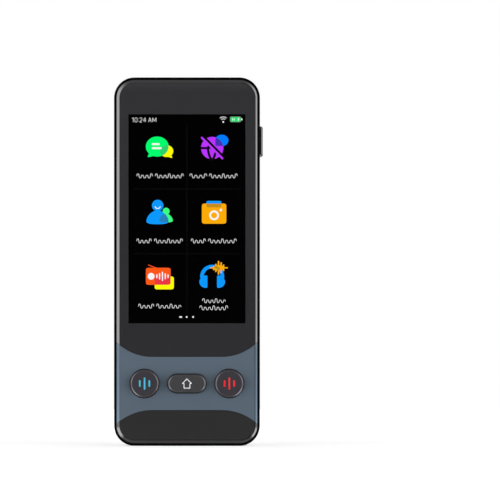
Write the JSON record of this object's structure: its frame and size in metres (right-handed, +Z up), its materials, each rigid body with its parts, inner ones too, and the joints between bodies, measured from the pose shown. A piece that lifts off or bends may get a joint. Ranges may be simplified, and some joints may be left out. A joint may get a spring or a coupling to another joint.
{
  "type": "handheld translator",
  "caption": "Slim upright handheld translator with a tall screen, a row of talk and home buttons, a side power key, a rear camera and a speaker grille.",
  "frame": {"origin": "middle of the foot that the translator stands on", "axes": "+Z up along the body's length, +X to the right seen from the screen, -Y out of the screen"},
  "size_m": [0.0474, 0.0131, 0.1172],
  "materials": {
    "black_shell": "satin black moulded plastic",
    "screen_glass": "dark printed cover glass, glossy",
    "slate_panel": "satin blue-grey plastic",
    "chin_plastic": "satin dark grey plastic",
    "button_plastic": "satin dark grey plastic",
    "silver_frame": "bright satin",
    "rear_plastic": "soft matt dark grey",
    "camera_rim": "polished dark edge",
    "camera_black": "piano black",
    "lens_glass": "coated lens",
    "display_glass": "display glass stack",
    "light_guide": "white light guide",
    "pressed_steel": "pressed sheet",
    "board_green": "solder resist",
    "chip_black": "moulded package",
    "copper_film": "polyimide film cable",
    "cell_foil": "foil pouch",
    "tape_black": "adhesive tape",
    "foam_black": "soft foam",
    "speaker_black": "moulded basket",
    "magnet_steel": "plated steel",
    "coil_copper": "enamelled wire",
    "mesh_fabric": "fine dust mesh",
    "socket_steel": "drawn steel shell",
    "screw_steel": "blackened steel",
    "key_metal": "satin grey"
  },
  "bodies": {
    "casing": {"front_housing": "black_shell", "cover_glass": "screen_glass", "glass_adhesive": "tape_black", "button_panel": "slate_panel", "chin_panel": "chin_plastic", "lcd_panel": "display_glass", "backlight": "light_guide", "display_cable": "copper_film", "button_switches": "pressed_steel", "button_board": "board_green", "chassis_plate": "pressed_steel", "main_board": "board_green", "processor": "chip_black", "processor_shield": "pressed_steel", "radio_chip": "chip_black", "radio_shield": "pressed_steel", "battery": "cell_foil", "battery_tape": "tape_black", "battery_lead": "copper_film", "board_cable": "copper_film", "cable_connectors": "chip_black", "rear_frame": "silver_frame", "rear_cover": "rear_plastic", "power_switch": "pressed_steel", "camera_bezel": "camera_rim", "camera_plate": "camera_black", "camera_module": "chip_black", "camera_barrel": "camera_black", "camera_lens": "lens_glass", "camera_gasket": "foam_black", "speaker_basket": "speaker_black", "speaker_magnet": "magnet_steel", "speaker_coil": "coil_copper", "speaker_cone": "speaker_black", "speaker_gasket": "foam_black", "speaker_mesh": "mesh_fabric", "microphone": "pressed_steel", "microphone_boot": "foam_black", "socket_shell": "socket_steel", "socket_tongue": "chip_black", "antenna": "copper_film", "lug_screws": "screw_steel", "chassis_screws": "screw_steel"},
    "left_talk": {"left_talk_button": "button_plastic", "left_switch_plunger": "chip_black"},
    "home": {"home_button": "button_plastic", "home_switch_plunger": "chip_black"},
    "right_talk": {"right_talk_button": "button_plastic", "right_switch_plunger": "chip_black"},
    "power": {"power_key": "key_metal", "power_switch_plunger": "chip_black"}
  },
  "joints": [
    {"name": "left_talk_press", "type": "slide", "parent": "casing", "child": "left_talk", "axis": [0, 1, 0], "range_m": [0, 0.0003], "stiffness_N_per_m": 4000},
    {"name": "home_press", "type": "slide", "parent": "casing", "child": "home", "axis": [0, 1, 0], "range_m": [0, 0.0003], "stiffness_N_per_m": 4000},
    {"name": "right_talk_press", "type": "slide", "parent": "casing", "child": "right_talk", "axis": [0, 1, 0], "range_m": [0, 0.0003], "stiffness_N_per_m": 4000},
    {"name": "power_press", "type": "slide", "parent": "casing", "child": "power", "axis": [-1, 0, 0], "range_m": [0, 0.00025], "stiffness_N_per_m": 4000}
  ]
}
